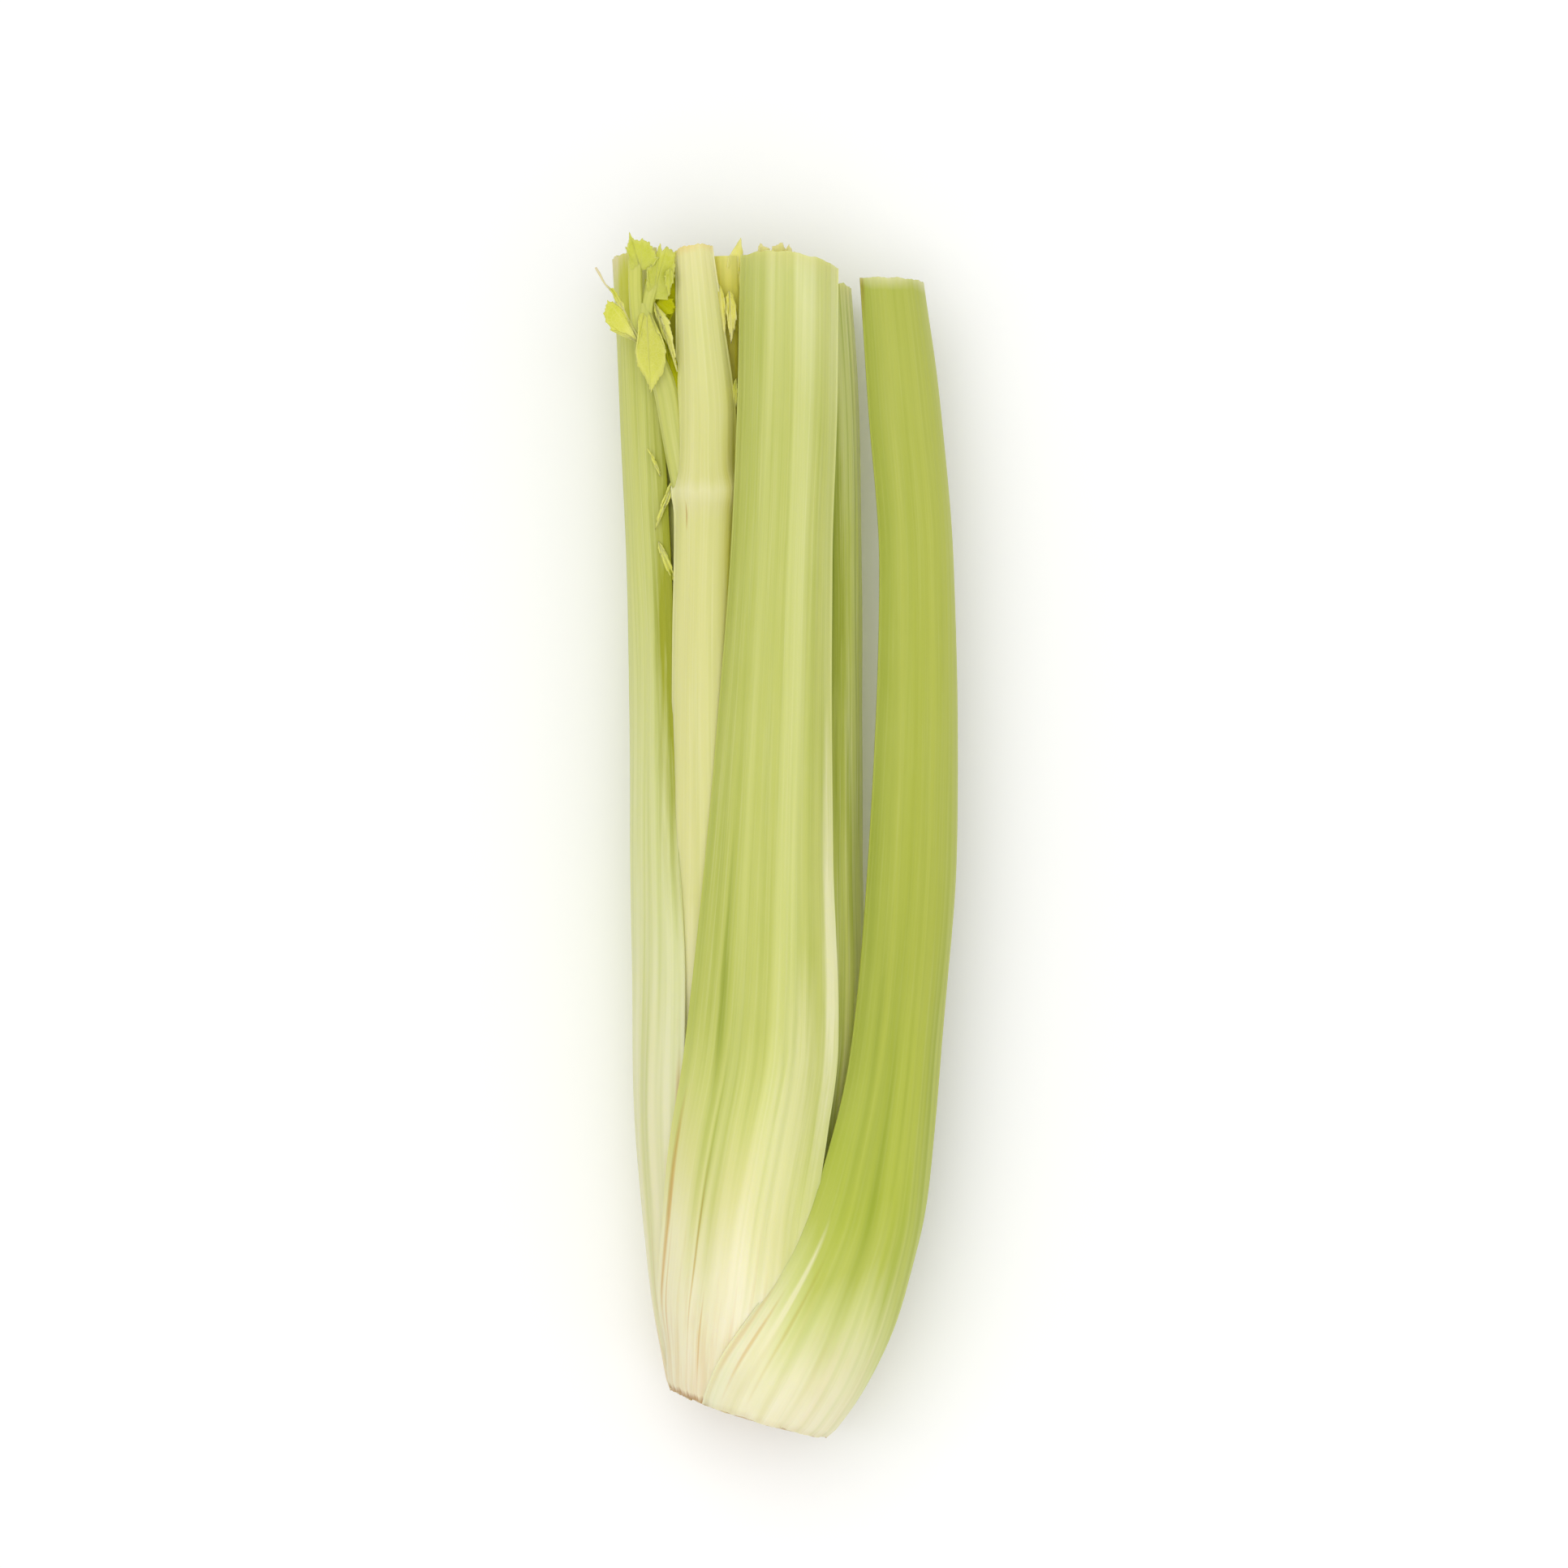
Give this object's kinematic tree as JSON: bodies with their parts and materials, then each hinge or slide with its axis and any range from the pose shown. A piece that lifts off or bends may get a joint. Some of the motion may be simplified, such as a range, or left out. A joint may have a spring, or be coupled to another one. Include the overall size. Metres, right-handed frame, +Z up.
{
  "type": "head of celery",
  "caption": "Trimmed head of celery lying on its side: ribbed pale green stalks wrapped round a creamy root end, with small leaves among the heart stalks.",
  "frame": {"origin": "on the surface it lies on, under the middle of the back right stalk, at the centre of the flat strip it rests on", "axes": "+Y along the head from the root end to the trimmed top, +Z up, away from the surface, +X to the right as seen from above with the root end nearest"},
  "size_m": [0.1026, 0.3408, 0.0614],
  "materials": {
    "outer_stalk_green": "fresh celery skin, mid yellow-green with darker furrows, pale towards the root, waxy satin",
    "outer_stalk": "fresh celery skin, light yellow-green, cream towards the root, waxy satin",
    "inner_stalk": "blanched celery skin, pale cream yellow, waxy satin, with small yellow-green leaves",
    "heart_stalk": "young celery stalk and leaves, yellow-green, satin",
    "root_plate": "cut celery root, cream, browned at the knife cut, matt"
  },
  "bodies": {
    "root": {"stalk_right": "outer_stalk_green", "stalk_front": "outer_stalk", "stalk_left": "outer_stalk", "stalk_back_left": "outer_stalk", "stalk_back_right": "outer_stalk_green", "crown": "root_plate", "stalk_inner_right": "outer_stalk_green", "stalk_inner_left": "inner_stalk", "stalk_inner_back": "inner_stalk", "heart_stalk_left": "heart_stalk", "heart_stalk_front": "heart_stalk", "heart_stalk_back": "heart_stalk", "heart_stalk_outer": "heart_stalk"}
  },
  "joints": []
}
